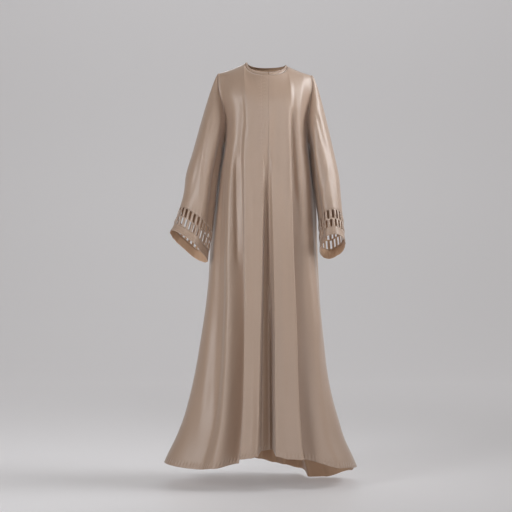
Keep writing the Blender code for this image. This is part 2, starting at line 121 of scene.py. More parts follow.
# Plain sections of the body, before any fold
Section = namedtuple("Section", "z right left front back")
SECTIONS = (
    Section(0.012, 0.194, 0.186, 0.046, 0.060),
    Section(-0.040, 0.186, 0.179, 0.070, 0.078),
    Section(-0.120, 0.172, 0.169, 0.098, 0.100),
    Section(-0.170, 0.162, 0.164, 0.108, 0.106),
    Section(-0.230, 0.155, 0.157, 0.114, 0.110),
    Section(-0.300, 0.157, 0.158, 0.119, 0.114),
    Section(-0.400, 0.173, 0.169, 0.127, 0.122),
    Section(-0.550, 0.190, 0.180, 0.143, 0.138),
    Section(-0.700, 0.207, 0.186, 0.158, 0.157),
    Section(-0.940, 0.234, 0.207, 0.178, 0.190),
    Section(-1.070, 0.254, 0.222, 0.186, 0.208),
    Section(-1.180, 0.273, 0.235, 0.191, 0.222),
    Section(-1.290, 0.298, 0.257, 0.196, 0.236),
    Section(-1.360, 0.318, 0.277, 0.199, 0.246),
    Section(-1.440, 0.350, 0.302, 0.203, 0.262),
    Section(-1.505, 0.382, 0.332, 0.207, 0.276),
    Section(-1.600, 0.420, 0.372, 0.211, 0.292),
)

# Largest folds, in order round the body from the right side seam across the front and back again.
# top: place along the top edge, 0 at the middle, 1 at the neck corner, 2 at the shoulder tip
# across: share of the half width, in per cent. inward: depth of the fold, in millimetres.
# These two have a value for each height
FOLD_HEIGHTS = (-0.17, -0.31, -0.45, -0.72, -1.05, -1.47)
Fold = namedtuple("Fold", "name top across inward hem_z cells")
FRONT_FOLDS = (
    Fold("side_right", -2.0, (-100, -100, -100, -100, -100, -100), (0, 0, 0, 0, 0, 0), -1.528, 2),
    Fold("gore_valley", -1.75, (-93, -91.5, -88, -80, -75, -66), (0, 3, 7, 12, 24, 32), -1.539, 2),
    Fold("gore_ridge", -1.5, (-78, -79, -75, -67, -58, -50), (0, 0, -1, -4, -6, -7), -1.529, 2),
    Fold("dart_valley", -1.25, (-57, -63, -56, -46, -36.5, -29.5), (3, 11, 17, 26, 40, 52), -1.515, 2),
    Fold("edge_right", -1.0, (-46, -50, -45, -38, -32, -26), (-1, -3, -5, -7, -8, -10), -1.492, 2),
    Fold("panel_right", -0.6, (-26, -28, -27, -22, -20, -16), (0, 0, 0, -1, -2, -3), -1.489, 2),
    Fold("lip_right", -0.22, (-10, -10, -7.5, -8, -9.5, -9.8), (0, 0, 0, 1, 3, 6), -1.485, 3),
    Fold("floor_right", -0.08, (-3, -3, -1.5, -4.4, -6, -5.6), (0, 0, 10, 32, 38, 40), -1.466, 2),
    Fold("centre", 0.067, (4.7, 4.5, 4, 2.4, 4.5, 3.6), (0, 1, 13, 40, 54, 62), -1.464, 1),
    Fold("floor_left", 0.14, (7.5, 7, 6.2, 8.8, 12, 9), (0, 0, 9, 30, 62, 76), -1.465, 3),
    Fold("lip_left", 0.28, (14, 13, 12, 14.8, 14.8, 11.2), (0, 0, 0, 1, 2, 5), -1.483, 2),
    Fold("panel_left", 0.62, (34, 36, 35, 33, 31, 26), (0, 0, 0, -1, -2, -3), -1.493, 2),
    Fold("edge_left", 1.0, (56, 55, 53, 53, 50.8, 41.8), (-1, -3, -5, -7, -8, -10), -1.495, 2),
    Fold("side_valley", 1.25, (65, 64, 60, 58, 55, 46), (3, 14, 24, 36, 44, 52), -1.501, 3),
    Fold("side_ridge", 1.625, (82, 84, 86, 87, 88, 82), (0, -1, -2, -3, -3, -3), -1.535, 3),
    Fold("side_left", 2.0, (100, 100, 100, 100, 100, 100), (0, 0, 0, 0, 0, 0), -1.545, 0),
)
BACK_FOLDS = (
    Fold("side_left", 2.0, (100, 100, 100, 100, 100, 100), (0, 0, 0, 0, 0, 0), -1.545, 1),
    Fold("seam_left", 1.875, (99, 98.6, 98.6, 98.5, 98, 97), (1, -4, -6, -8, -6, -4), -1.562, 1),
    Fold("wing_left", 1.75, (95, 94, 93, 93, 92, 90), (4, -20, -31, -29, -16, -8), -1.582, 2),
    Fold("tail_left", 1.5, (83, 81, 80, 79, 77, 73), (2, -4, -5, 9, 33, 54), -1.611, 1),
    Fold("deep_valley", 1.375, (74, 72, 70, 68, 65, 60), (0, 5, 14, 36, 72, 105), -1.609, 3),
    Fold("ridge_left", 1.0, (52, 51, 50, 46, 41, 36), (0, 0, -2, -4, -6, -8), -1.592, 2),
    Fold("valley_left", 0.66, (33, 33, 33, 30, 26, 23), (0, 3, 8, 16, 27, 40), -1.572, 2),
    Fold("ridge_mid", 0.3, (15, 15, 15, 13, 11, 9), (0, 0, -1, -3, -5, -8), -1.570, 2),
    Fold("valley_mid", -0.06, (-3, -3, -4, -5, -6, -6), (0, 3, 9, 18, 30, 44), -1.549, 2),
    Fold("ridge_right", -0.4, (-20, -21, -22, -22, -22, -22), (0, 0, -2, -4, -6, -9), -1.540, 2),
    Fold("valley_right", -0.72, (-37, -37, -38, -38, -38, -37), (0, 3, 8, 16, 27, 40), -1.546, 2),
    Fold("ridge_outer", -1.0, (-53, -53, -54, -54, -54, -52), (0, 0, -2, -4, -6, -9), -1.556, 3),
    Fold("side_valley", -1.375, (-75, -74, -74, -74, -73, -72), (0, 4, 12, 18, 28, 40), -1.560, 3),
    Fold("wing_right", -1.75, (-95, -94, -93, -93, -92, -90), (4, -20, -31, -25, -9, -4), -1.552, 1),
    Fold("seam_right", -1.875, (-99, -98.6, -98.6, -98.5, -98, -97), (1, -4, -6, -6, -3, -2), -1.541, 1),
    Fold("side_right", -2.0, (-100, -100, -100, -100, -100, -100), (0, 0, 0, 0, 0, 0), -1.528, 0),
)

# Rings of the sleeves. lean lifts the outer side, forward lifts the front side, both in degrees
Ring = namedtuple("Ring", "name x y z half_width half_depth lean forward")
RIGHT_RINGS = (
    Ring("upper_arm", -0.2260, 0.002, -0.345, 0.0580, 0.086, 4.0, 0.0),
    Ring("elbow", -0.2465, -0.006, -0.440, 0.0635, 0.080, 16.0, 5.0),
    Ring("forearm", -0.2560, -0.014, -0.525, 0.0680, 0.074, 28.0, 10.0),
    Ring("cutwork_top", -0.2680, -0.030, -0.598, 0.0770, 0.066, 36.0, 20.0),
    Ring("cuff_top", -0.2860, -0.050, -0.671, 0.0835, 0.060, 36.0, 26.0),
    Ring("cuff_edge", -0.2950, -0.062, -0.701, 0.0900, 0.060, 37.0, 28.0),
)
LEFT_RINGS = (
    Ring("upper_arm", 0.2145, 0.002, -0.345, 0.0475, 0.089, 2.0, 0.0),
    Ring("elbow", 0.2285, -0.008, -0.440, 0.0520, 0.091, 4.0, 8.0),
    Ring("forearm", 0.2380, -0.020, -0.520, 0.0490, 0.092, 6.0, 16.0),
    Ring("cutwork_top", 0.2460, -0.032, -0.596, 0.0470, 0.092, 8.0, 24.0),
    Ring("cuff_top", 0.2510, -0.048, -0.670, 0.0480, 0.091, 9.0, 28.0),
    Ring("cuff_edge", 0.2520, -0.056, -0.702, 0.0500, 0.092, 9.0, 30.0),
)

# Folds along the sleeves: angle round the ring from the inner side by way of the front, in degrees
SleeveFold = namedtuple("SleeveFold", "name angle_top angle_bottom outward_top outward_bottom width")
RIGHT_SLEEVE_FOLDS = (
    SleeveFold("front_ridge", 66.0, 74.0, 0.007, 0.006, 14.0),
    SleeveFold("inner_valley", 36.0, 40.0, -0.013, -0.010, 18.0),
    SleeveFold("back_valley", 242.0, 250.0, -0.008, -0.006, 20.0),
    SleeveFold("back_ridge", 280.0, 286.0, 0.005, 0.004, 18.0),
)
LEFT_SLEEVE_FOLDS = (
    SleeveFold("front_ridge", 58.0, 62.0, 0.006, 0.006, 14.0),
    SleeveFold("inner_valley", 28.0, 30.0, -0.010, -0.009, 18.0),
    SleeveFold("elbow_facet", 112.0, 128.0, -0.004, -0.002, 16.0),
    SleeveFold("back_valley", 236.0, 246.0, -0.008, -0.006, 20.0),
)

# Creases: a soft ridge, or a trough where height is below 0, in millimetres, between two points as they
# are seen from the front. bow moves its middle sideways. width is from the middle to the soft edge
Crease = namedtuple("Crease", "x_from z_from x_to z_to bow width height")
FRONT_CREASES = (
    # Bodice, by the wearer's right armhole and its dart
    Crease(-0.142, -0.120, -0.122, -0.320, 0.004, 0.0110, -2.0),
    Crease(-0.093, -0.135, -0.073, -0.290, 0.003, 0.0060, -1.8),
    Crease(-0.108, -0.150, -0.100, -0.420, 0.002, 0.0160, 2.2),
    # Bodice, by the placket
    Crease(-0.045, -0.150, -0.038, -0.420, -0.002, 0.0140, -1.0),
    Crease(0.044, -0.130, 0.032, -0.480, 0.004, 0.0180, -3.6),
    # Bodice, by the wearer's left armhole
    Crease(0.083, -0.140, 0.089, -0.560, -0.002, 0.0080, 2.6),
    Crease(0.097, -0.140, 0.112, -0.560, 0.004, 0.0080, -4.4),
    Crease(0.112, -0.100, 0.152, -0.700, 0.006, 0.0100, 3.6),
    # Skirt, wearer's right
    Crease(-0.167, -0.340, -0.188, -0.900, 0.002, 0.0110, -9.0),
    Crease(-0.141, -0.380, -0.147, -0.900, 0.002, 0.0130, 3.6),
    Crease(-0.114, -0.320, -0.106, -0.800, 0.001, 0.0095, -9.0),
    Crease(-0.178, -0.720, -0.210, -1.420, 0.002, 0.0190, -9.5),
    Crease(-0.205, -0.900, -0.262, -1.500, 0.003, 0.0160, 3.0),
    Crease(-0.160, -1.000, -0.196, -1.480, -0.002, 0.0140, -2.6),
    Crease(-0.062, -0.420, -0.058, -1.300, -0.002, 0.0130, 1.2),
    Crease(-0.048, -0.700, -0.044, -1.460, -0.002, 0.0150, -1.4),
    # Skirt, wearer's left
    Crease(0.060, -0.600, 0.066, -1.440, -0.002, 0.0160, 2.2),
    Crease(0.150, -0.700, 0.186, -1.400, 0.002, 0.0160, -2.6),
    Crease(0.186, -0.560, 0.208, -1.130, 0.003, 0.0160, 3.0),
    Crease(0.214, -0.960, 0.250, -1.480, 0.003, 0.0180, -3.4),
)
BACK_CREASES = (
    Crease(-0.110, -0.120, -0.096, -0.420, 0.004, 0.0110, -2.4),
    Crease(-0.060, -0.160, -0.052, -0.560, -0.003, 0.0120, 1.8),
    Crease(0.026, -0.140, 0.030, -0.480, 0.002, 0.0150, -2.0),
    Crease(0.074, -0.130, 0.092, -0.500, 0.003, 0.0100, 2.2),
    Crease(0.112, -0.150, 0.128, -0.420, -0.002, 0.0090, -2.4),
    Crease(-0.150, -0.560, -0.186, -1.300, 0.004, 0.0170, -3.4),
    Crease(0.010, -0.700, -0.004, -1.480, -0.003, 0.0160, 2.4),
    Crease(0.130, -0.620, 0.150, -1.360, 0.004, 0.0180, 3.0),
    Crease(-0.262, -1.000, -0.300, -1.500, 0.003, 0.0200, 3.2),
)
SLEEVE_CREASES = {
    -1: (
        Crease(-0.206, -0.180, -0.246, -0.470, 0.004, 0.0070, -3.0),
        Crease(-0.222, -0.230, -0.258, -0.560, 0.004, 0.0080, 2.4),
        Crease(-0.190, -0.250, -0.214, -0.560, 0.002, 0.0070, -2.6),
        Crease(-0.240, -0.300, -0.292, -0.520, -0.003, 0.0090, -1.8),
    ),
    1: (
        Crease(0.192, -0.180, 0.226, -0.350, 0.003, 0.0070, -1.8),
        Crease(0.206, -0.170, 0.240, -0.330, 0.003, 0.0090, 1.4),
        Crease(0.232, -0.370, 0.212, -0.560, -0.003, 0.0080, 2.2),
        Crease(0.246, -0.400, 0.262, -0.580, 0.002, 0.0080, -1.8),
    ),
}
# A crease fades out over CREASE_FADE of its length at each end, and over these columns to a side seam.
# FACING_GAIN is how fast it fades out round the side of a sleeve
CREASE_FADE = 0.25
CREASE_SIDE_COLUMNS = 16
FACING_GAIN = 2.0

# The roll beside the armhole seam. ROLL_COLUMN and ROLL_COLUMNS are its middle and its width in columns
ROLL_COLUMN = 2.2
ROLL_COLUMNS = 1.4
ROLL_HEIGHT = 0.0020
ROLL_LOWEST = -0.36
ROLL_FADE = 0.10


def smooth(share):
    return share * share * (3.0 - 2.0 * share)


def mix(a, b, share):
    return a + (b - a) * share


def unit(vectors):
    return vectors / np.maximum(np.linalg.norm(vectors, axis=-1, keepdims=True), SHORTEST_VECTOR)


def curve_values(places, table, at):
    """Smooth curves through a table's last axis, with slopes from its neighbours. Places run downwards."""
    x = -np.asarray(places, float)
    at = np.clip(-np.asarray(at, float), x[0], x[-1])
    y = np.broadcast_to(table, at.shape + (len(x),))
    slopes = np.gradient(y, x, axis=-1)
    i = np.clip(np.searchsorted(x, at, side="right") - 1, 0, len(x) - 2)
    step = x[i + 1] - x[i]
    w = (at - x[i]) / step

    def pick(values, which):
        return np.take_along_axis(values, which[..., None], -1)[..., 0]

    return (
        (2 * w**3 - 3 * w**2 + 1) * pick(y, i)
        + (w**3 - 2 * w**2 + w) * step * pick(slopes, i)
        + (3 * w**2 - 2 * w**3) * pick(y, i + 1)
        + (w**3 - w**2) * step * pick(slopes, i + 1)
    )


def neck_point(line, top, is_front):
    """A point of a line round the neck, top from -1 at its right corner to 1 at its left one."""
    turn = top * math.pi / 2
    rise = (1 - math.cos(turn)) ** NECK_RISE_POWER
    z_corner = line.z_corner_left if top > 0 else line.z_corner_right
    z_middle = line.z_front if is_front else line.z_back
    middle = line.front if is_front else line.back
    return np.array([
        line.half_width * math.sin(turn),
        SHOULDER_TIP[1].y + (middle - SHOULDER_TIP[1].y) * math.cos(turn),
        mix(z_middle, z_corner, rise),
    ])


def top_point(top, is_front):
    """A point of a panel's top edge: the neck seam, then the shoulder seam out to the tip."""
    if abs(top) <= 1:
        return neck_point(NECK_SEAM, top, is_front)
    side = 1 if top > 0 else -1
    share = abs(top) - 1
    point = mix(neck_point(NECK_SEAM, side, is_front), np.array(SHOULDER_TIP[side]), share)
    point[2] -= SHOULDER_DIP * math.sin(math.pi * share)
    return point


Columns = namedtuple("Columns", "top across inward hem_z")


def columns_of(folds, density):
    """Every column of a panel: each fold's own, and evenly spaced ones up to the next fold."""
    rows = []
    for here, there in zip(folds, folds[1:]):
        count = here.cells * density
        last = 1 if there is folds[-1] else 0
        for step in range(count + last):
            share = step / count
            turn_share = smooth(share)
            turns = mix(
                np.arcsin(PER_CENT * np.array(here.across)),
                np.arcsin(PER_CENT * np.array(there.across)),
                share,
            )
            depths = mix(np.array(here.inward), np.array(there.inward), turn_share)
            rows.append((
                mix(here.top, there.top, share),
                np.sin(turns),
                MILLIMETRE * depths,
                mix(here.hem_z, there.hem_z, turn_share),
            ))
    return Columns(*(np.array(values) for values in zip(*rows)))


def row_places():
    """Rows down a panel: even ones to near the hem, then the hem's closer ones."""
    last = ARMHOLE_ROWS + SKIRT_ROWS
    hem_start = last - HEM_SHARE
    plain = np.arange(0, hem_start, 1 / ROW_DENSITY)
    return np.concatenate([plain, np.linspace(hem_start, last, HEM_ROWS + 1)])


def panel_points(folds, is_front, density):
    """The points of a panel, as an array of rows and columns."""
    columns = columns_of(folds, density)
    rows = row_places()[:, None]
    tops = np.array([top_point(top, is_front) for top in columns.top])
    upper = mix(tops[:, 2], UNDERARM_Z, rows / ARMHOLE_ROWS)
    lower = mix(UNDERARM_Z, columns.hem_z, (rows - ARMHOLE_ROWS) / SKIRT_ROWS)
    z = np.where(rows <= ARMHOLE_ROWS, upper, lower)
    across = np.clip(curve_values(FOLD_HEIGHTS, columns.across, z), -1.0, 1.0)
    inward = curve_values(FOLD_HEIGHTS, columns.inward, z)
    drop = np.clip((tops[:, 2] - z) / YOKE_DROP, 0.0, 1.0)
    x, y = section_xy(across, inward * smooth(drop), z, is_front)
    x = mix(tops[:, 0], x, smooth(drop))
    y = mix(tops[:, 1], y, np.sqrt(1 - (1 - drop) ** 2))
    return bowed_armhole(x, y, z, columns.top, is_front)


def section_xy(across, inward, z, is_front):
    """Places on the body at these heights: their share across the plain section, then moved in."""
    heights = [row.z for row in SECTIONS]
    tables = ([getattr(row, part) for row in SECTIONS] for part in Section._fields[1:])
    right, left, front, back = (curve_values(heights, table, z) for table in tables)
    half_width = np.where(across > 0, left, right)
    depth = -front if is_front else back
    turn = np.arcsin(np.abs(across) ** (1 / SECTION_POWER))
    x = np.copysign(half_width * np.sin(turn) ** SECTION_POWER, across)
    y = depth * np.maximum(np.cos(turn), 0.0) ** SECTION_POWER
    away = unit(np.stack([x / half_width**2, y / depth**2], axis=-1))
    return x - inward * away[..., 0], y - inward * away[..., 1]


def bowed_armhole(x, y, z, top, is_front):
    """The panel's outer columns bow forward at the armhole in front, and backward behind."""
    reach = np.clip((np.abs(top) - BOW_START) / (2 - BOW_START), 0.0, 1.0)
    tip_z = np.where(top > 0, SHOULDER_TIP[1].z, SHOULDER_TIP[-1].z)
    down = np.clip((tip_z - z) / (tip_z - UNDERARM_Z), 0.0, 1.0)
    bow = np.maximum(np.sin(math.pi * down), 0.0) ** BOW_POWER * smooth(reach)
    y = mix(y, -ARMHOLE_FORWARD if is_front else ARMHOLE_BACKWARD, bow * BOW_SHARE)
    return np.stack([x, y, z], axis=-1)


def grid_normals(points, closed=False):
    """Unit normals at the points of a grid, outwards."""
    faces = np.cross(points[1:, 1:] - points[:-1, :-1], points[:-1, 1:] - points[1:, :-1])
    normals = np.zeros_like(points)
    for rows in (slice(None, -1), slice(1, None)):
        for columns in (slice(None, -1), slice(1, None)):
            normals[rows, columns] += faces
    if closed:
        seam = normals[:, 0] + normals[:, -1]
        normals[:, 0] = seam
        normals[:, -1] = seam
    return unit(normals)


def ring_at(rings, place):
    """The ring at a place along the sleeve, where whole numbers are the table's own rings."""
    numbers = -np.arange(len(rings), dtype=float)
    tables = ([getattr(ring, part) for ring in rings] for part in Ring._fields[1:])
    return Ring("between", *(float(curve_values(numbers, table, -place)) for table in tables))


def sleeve_ring(rings, folds, side, place, angles):
    """Points of the ring at a place, at angles that start at the inner side and run by way of the front."""
    ring = ring_at(rings, place)
    share = place / (len(rings) - 1)
    outward = np.zeros(len(angles))
    for fold in folds:
        centre = mix(fold.angle_top, fold.angle_bottom, share)
        away = (np.degrees(angles) - centre + 180.0) % 360.0 - 180.0
        outward += mix(fold.outward_top, fold.outward_bottom, share) * np.exp(-((away / fold.width) ** 2))
    lean = math.radians(ring.lean)
    forward = math.radians(ring.forward)
    inner = np.array([-side * math.cos(lean), 0.0, -math.sin(lean)])
    backward = np.array([0.0, math.cos(forward), -math.sin(forward)])
    return (
        np.array([ring.x, ring.y, ring.z])
        + np.outer((ring.half_width + outward) * np.cos(angles), inner)
        - np.outer((ring.half_depth + outward) * np.sin(angles), backward)
    )


def even_ring(rings, folds, side, place, shares):
    """Points that split the ring at this place into the given shares of its length."""
    fine = np.linspace(0.0, 2 * math.pi, RING_STEPS + 1)
    steps = np.linalg.norm(np.diff(sleeve_ring(rings, folds, side, place, fine), axis=0), axis=1)
    along = np.concatenate([[0.0], np.cumsum(steps)])
    angles = np.interp(np.asarray(shares) * along[-1], along, fine)
    return sleeve_ring(rings, folds, side, place, angles)


def turned(points, side):
    """Columns in the same sense on both sleeves, so that the same side of each shell faces out."""
    return points if side > 0 else points[:, ::-1]


def ring_place(rings, name):
    return [ring.name for ring in rings].index(name)


def sleeve_points(rings, folds, side, front, back):
    """The sleeve from its armhole to the cutwork. front and back are the panels' edges, tip to underarm."""
    armhole = np.concatenate([front[::-1], back[1:]])
    count = len(armhole)
    shares = np.linspace(0.0, 1.0, count)
    upper = even_ring(rings, folds, side, 0.0, shares)
    low = np.abs(np.arange(count) - (count - 1) / 2) / ((count - 1) / 2)
    guide = np.stack([
        armhole[:, 0] + side * (CAP_REACH + CAP_UNDER_REACH * low),
        mix(armhole[:, 1], upper[:, 1], CAP_TURN_SHARE),
        armhole[:, 2] - CAP_FALL * (1 - low),
    ], axis=-1)
    rows = []
    for share in np.arange(0, 1, 1 / (CAP_ROWS * ROW_DENSITY)):
        rows.append((1 - share) ** 2 * armhole + 2 * share * (1 - share) * guide + share**2 * upper)
    end = ring_place(rings, "cutwork_top")
    for place in np.linspace(0, end, SLEEVE_ROWS * ROW_DENSITY + 1):
        rows.append(even_ring(rings, folds, side, place, shares))
    return turned(np.array(rows), side)


def creased(points, normals, creases):
    """The points moved out or in by the creases, which fade out towards the side seams."""
    count = points.shape[1]
    number = np.arange(count)
    from_side = np.minimum(number, count - 1 - number) / CREASE_SIDE_COLUMNS
    field = crease_field(points, creases) * smooth(np.clip(from_side, 0.0, 1.0))
    field += rolled_armhole(points, np.minimum(number, count - 1 - number))
    return points + normals * field[..., None]


def rolled_armhole(points, from_side):
    """The seam allowance lifts the cloth beside the armhole seam into a narrow roll."""
    down = np.clip((points[..., 2] - ROLL_LOWEST) / ROLL_FADE, 0.0, 1.0)
    away = (from_side - ROLL_COLUMN) / ROLL_COLUMNS
    return ROLL_HEIGHT * smooth(down) * np.exp(-(away**2))


def crease_field(points, creases):
    """How far the creases move each point outwards."""
    total = np.zeros(points.shape[:2])
    x, z = points[..., 0], points[..., 2]
    for crease in creases:
        run = np.array([crease.x_to - crease.x_from, crease.z_to - crease.z_from])
        length = np.linalg.norm(run)
        run /= length
        dx, dz = x - crease.x_from, z - crease.z_from
        along = (dx * run[0] + dz * run[1]) / length
        bow = crease.bow * (1 - (2 * along - 1) ** 2)
        aside = dx * run[1] - dz * run[0] - bow
        fade = np.clip(np.minimum(along, 1 - along) / CREASE_FADE, 0.0, 1.0)
        total += MILLIMETRE * crease.height * smooth(fade) * np.exp(-((aside / crease.width) ** 2))
    return total


def cloth_distances(points):
    """Metres along the cloth at each point: from its first column, its last one, and its last row."""
    across = np.linalg.norm(np.diff(points, axis=1), axis=-1)
    down = np.linalg.norm(np.diff(points, axis=0), axis=-1)
    from_first = np.pad(np.cumsum(across, axis=1), ((0, 0), (1, 0)))
    from_last = from_first[:, -1:] - from_first
    above = np.pad(np.cumsum(down[::-1], axis=0)[::-1], ((0, 1), (0, 0)))
    return {"across": from_first, "aside": from_last, "above": above}


def mesh_of(name, points, open_cells=(), closed=False):
    """A shell's outer faces through a grid of points. A closed grid repeats its first column as its last."""
    distances = cloth_distances(points)
    rows, columns = points.shape[:2]
    used = columns - 1 if closed else columns
    vertices = points[:, :used].reshape(-1, 3)
    faces = []
    for row in range(rows - 1):
        for column in range(columns - 1):
            if (row, column) in open_cells:
                continue
            after = (column + 1) % used
            faces.append((
                row * used + column,
                (row + 1) * used + column,
                (row + 1) * used + after,
                row * used + after,
            ))
    mesh = bpy.data.meshes.new(name)
    mesh.from_pydata(vertices.tolist(), [], faces)
    for attribute, values in distances.items():
        layer = mesh.attributes.new(attribute, "FLOAT", "POINT")
        layer.data.foreach_set("value", values[:, :used].astype(np.float32).ravel())
    mesh.update()
    mesh.shade_smooth()
    return mesh


def add_piece(mesh, slot, nodes, look=None):
    """A shell of cloth from its outer faces, with the wrong side in its own material."""
    obj = bpy.data.objects.new(mesh.name, mesh)
    bpy.context.scene.collection.objects.link(obj)
    mesh.materials.append(MATERIALS[look or slot])
    mesh.materials.append(MATERIALS["wrong_side"])
    shell = obj.modifiers.new("cloth", "SOLIDIFY")
    shell.thickness = CLOTH
    shell.offset = -1.0
    shell.use_even_offset = False
    shell.thickness_clamp = 0.0
    shell.material_offset = 1
    shell.material_offset_rim = 0
    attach(obj, "root")
    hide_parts(*nodes)
    return obj


# Cloth as it is shaded. hem_line and edge_line are the distance of a stitch line from the lower edge of
# the piece, and from the edge of the opening, in metres, with 0 for none. pucker is how much it puckers
Look = namedtuple("Look", "colour roughness specular hem_line edge_line pucker")
SATIN_COLOUR = (0.398, 0.276, 0.202)
LOOKS = {
    "satin": Look(SATIN_COLOUR, 0.47, 1.00, 0.014, 0.0, 1.0),
    "satin_placket": Look(SATIN_COLOUR, 0.47, 1.00, 0.014, 0.0235, 1.0),
    "satin_plain": Look(SATIN_COLOUR, 0.47, 1.00, 0.004, 0.0, 0.3),
    "cuff": Look(SATIN_COLOUR, 0.48, 0.90, 0.008, 0.0, 0.2),
    "strips": Look((0.412, 0.292, 0.218), 0.46, 0.90, 0.0, 0.0, 0.0),
    "binding": Look((0.402, 0.281, 0.208), 0.46, 0.90, 0.0022, 0.0, 0.15),
    # Wrong side: the cloth's own matte back, its colour partly painted light, made lighter to stand in for
    # the light that bounces inside the skirt and hem
    "wrong_side": Look((0.560, 0.370, 0.245), 0.62, 0.35, 0.0, 0.0, 0.0),
}
STITCH_LENGTH = 0.0032
STITCH_SHARE = 0.72
STITCH_HALF_WIDTH = 0.00035
STITCH_HEIGHT = 0.00016
GROOVE_HALF_WIDTH = 0.0022
GROOVE_DEPTH = 0.00035
PUCKER_LENGTH = 0.0140
PUCKER_REACH = 0.017
PUCKER_HEIGHT = 0.00085
PUCKER_NOISE = 38.0
PUCKER_SWAY = 5.0
THREAD_TONE = 0.12
PLACKET_LENGTH = 0.72
PLACKET_PUCKER = 0.35
WEAVE_LINES = 2600.0
WEAVE_RUN = 0.10
WEAVE_HEIGHT = 0.000012
DRAPE_SCALE = 16.0
DRAPE_RUN = 0.22
DRAPE_HEIGHT = 0.0021
RUMPLE_SCALE = 55.0
RUMPLE_HEIGHT = 0.00022
TONE_SCALE = 5.0
TONE_SHARE = 0.10
TONE_ROUGHNESS = 0.6
SLUB_SCALE = 325.0
SLUB_SHARE = 0.06
SHEEN_WEIGHT = 0.42
SHEEN_ROUGHNESS = 0.38


class Shader:
    """Short ways to add and join the nodes of one material."""

    def __init__(self, name):
        self.material = bpy.data.materials.new(name)
        self.material.use_nodes = True
        self.nodes = self.material.node_tree.nodes
        self.links = self.material.node_tree.links
        self.bsdf = self.nodes["Principled BSDF"]

    def math(self, operation, a, b=0.0, clamp=False):
        node = self.nodes.new("ShaderNodeMath")
        node.operation = operation
        node.use_clamp = clamp
        for socket, value in zip(node.inputs, (a, b)):
            self.put(socket, value)
        return node.outputs[0]

    def put(self, socket, value):
        if isinstance(value, (int, float, tuple)):
            socket.default_value = value
        else:
            self.links.new(value, socket)

    def attribute(self, name):
        node = self.nodes.new("ShaderNodeAttribute")
        node.attribute_name = name
        return node.outputs["Fac"]

    def noise(self, x, y, scale, detail=2.0):
        """Smooth noise about 0, from about -0.5 to 0.5."""
        place = self.nodes.new("ShaderNodeCombineXYZ")
        self.put(place.inputs["X"], x)
        self.put(place.inputs["Y"], y)
        node = self.nodes.new("ShaderNodeTexNoise")
        node.inputs["Scale"].default_value = scale
        node.inputs["Detail"].default_value = detail
        self.links.new(place.outputs[0], node.inputs["Vector"])
        return self.math("SUBTRACT", node.outputs["Fac"], 0.5)

    def near(self, distance, half_width):
        """1 on a line, and 0 from half_width away from it."""
        share = self.math("DIVIDE", distance, half_width)
        return self.math("SUBTRACT", 1.0, share, clamp=True)

    def total(self, values):
        result = values[0]
        for value in values[1:]:
            result = self.math("ADD", result, value)
        return result


def stitch_line(shader, along, distance, pucker_share):
    """A row of stitches in its groove with puckers: its height and the mask of its thread."""
    away = shader.math("ABSOLUTE", distance)
    phase = shader.math("FRACT", shader.math("DIVIDE", along, STITCH_LENGTH))
    dash = shader.math("LESS_THAN", phase, STITCH_SHARE)
    thread = shader.math("MULTIPLY", shader.near(away, STITCH_HALF_WIDTH), dash)
    groove = shader.near(away, GROOVE_HALF_WIDTH)
    sway = shader.math("MULTIPLY", shader.noise(along, 0.0, PUCKER_NOISE), PUCKER_SWAY)
    turn = shader.math("ADD", shader.math("MULTIPLY", along, 2 * math.pi / PUCKER_LENGTH), sway)
    pucker = shader.math("MULTIPLY", shader.math("SINE", turn), shader.near(away, PUCKER_REACH))
    height = shader.total([
        shader.math("MULTIPLY", thread, STITCH_HEIGHT),
        shader.math("MULTIPLY", groove, -GROOVE_DEPTH),
        shader.math("MULTIPLY", pucker, pucker_share * PUCKER_HEIGHT),
    ])
    return height, thread


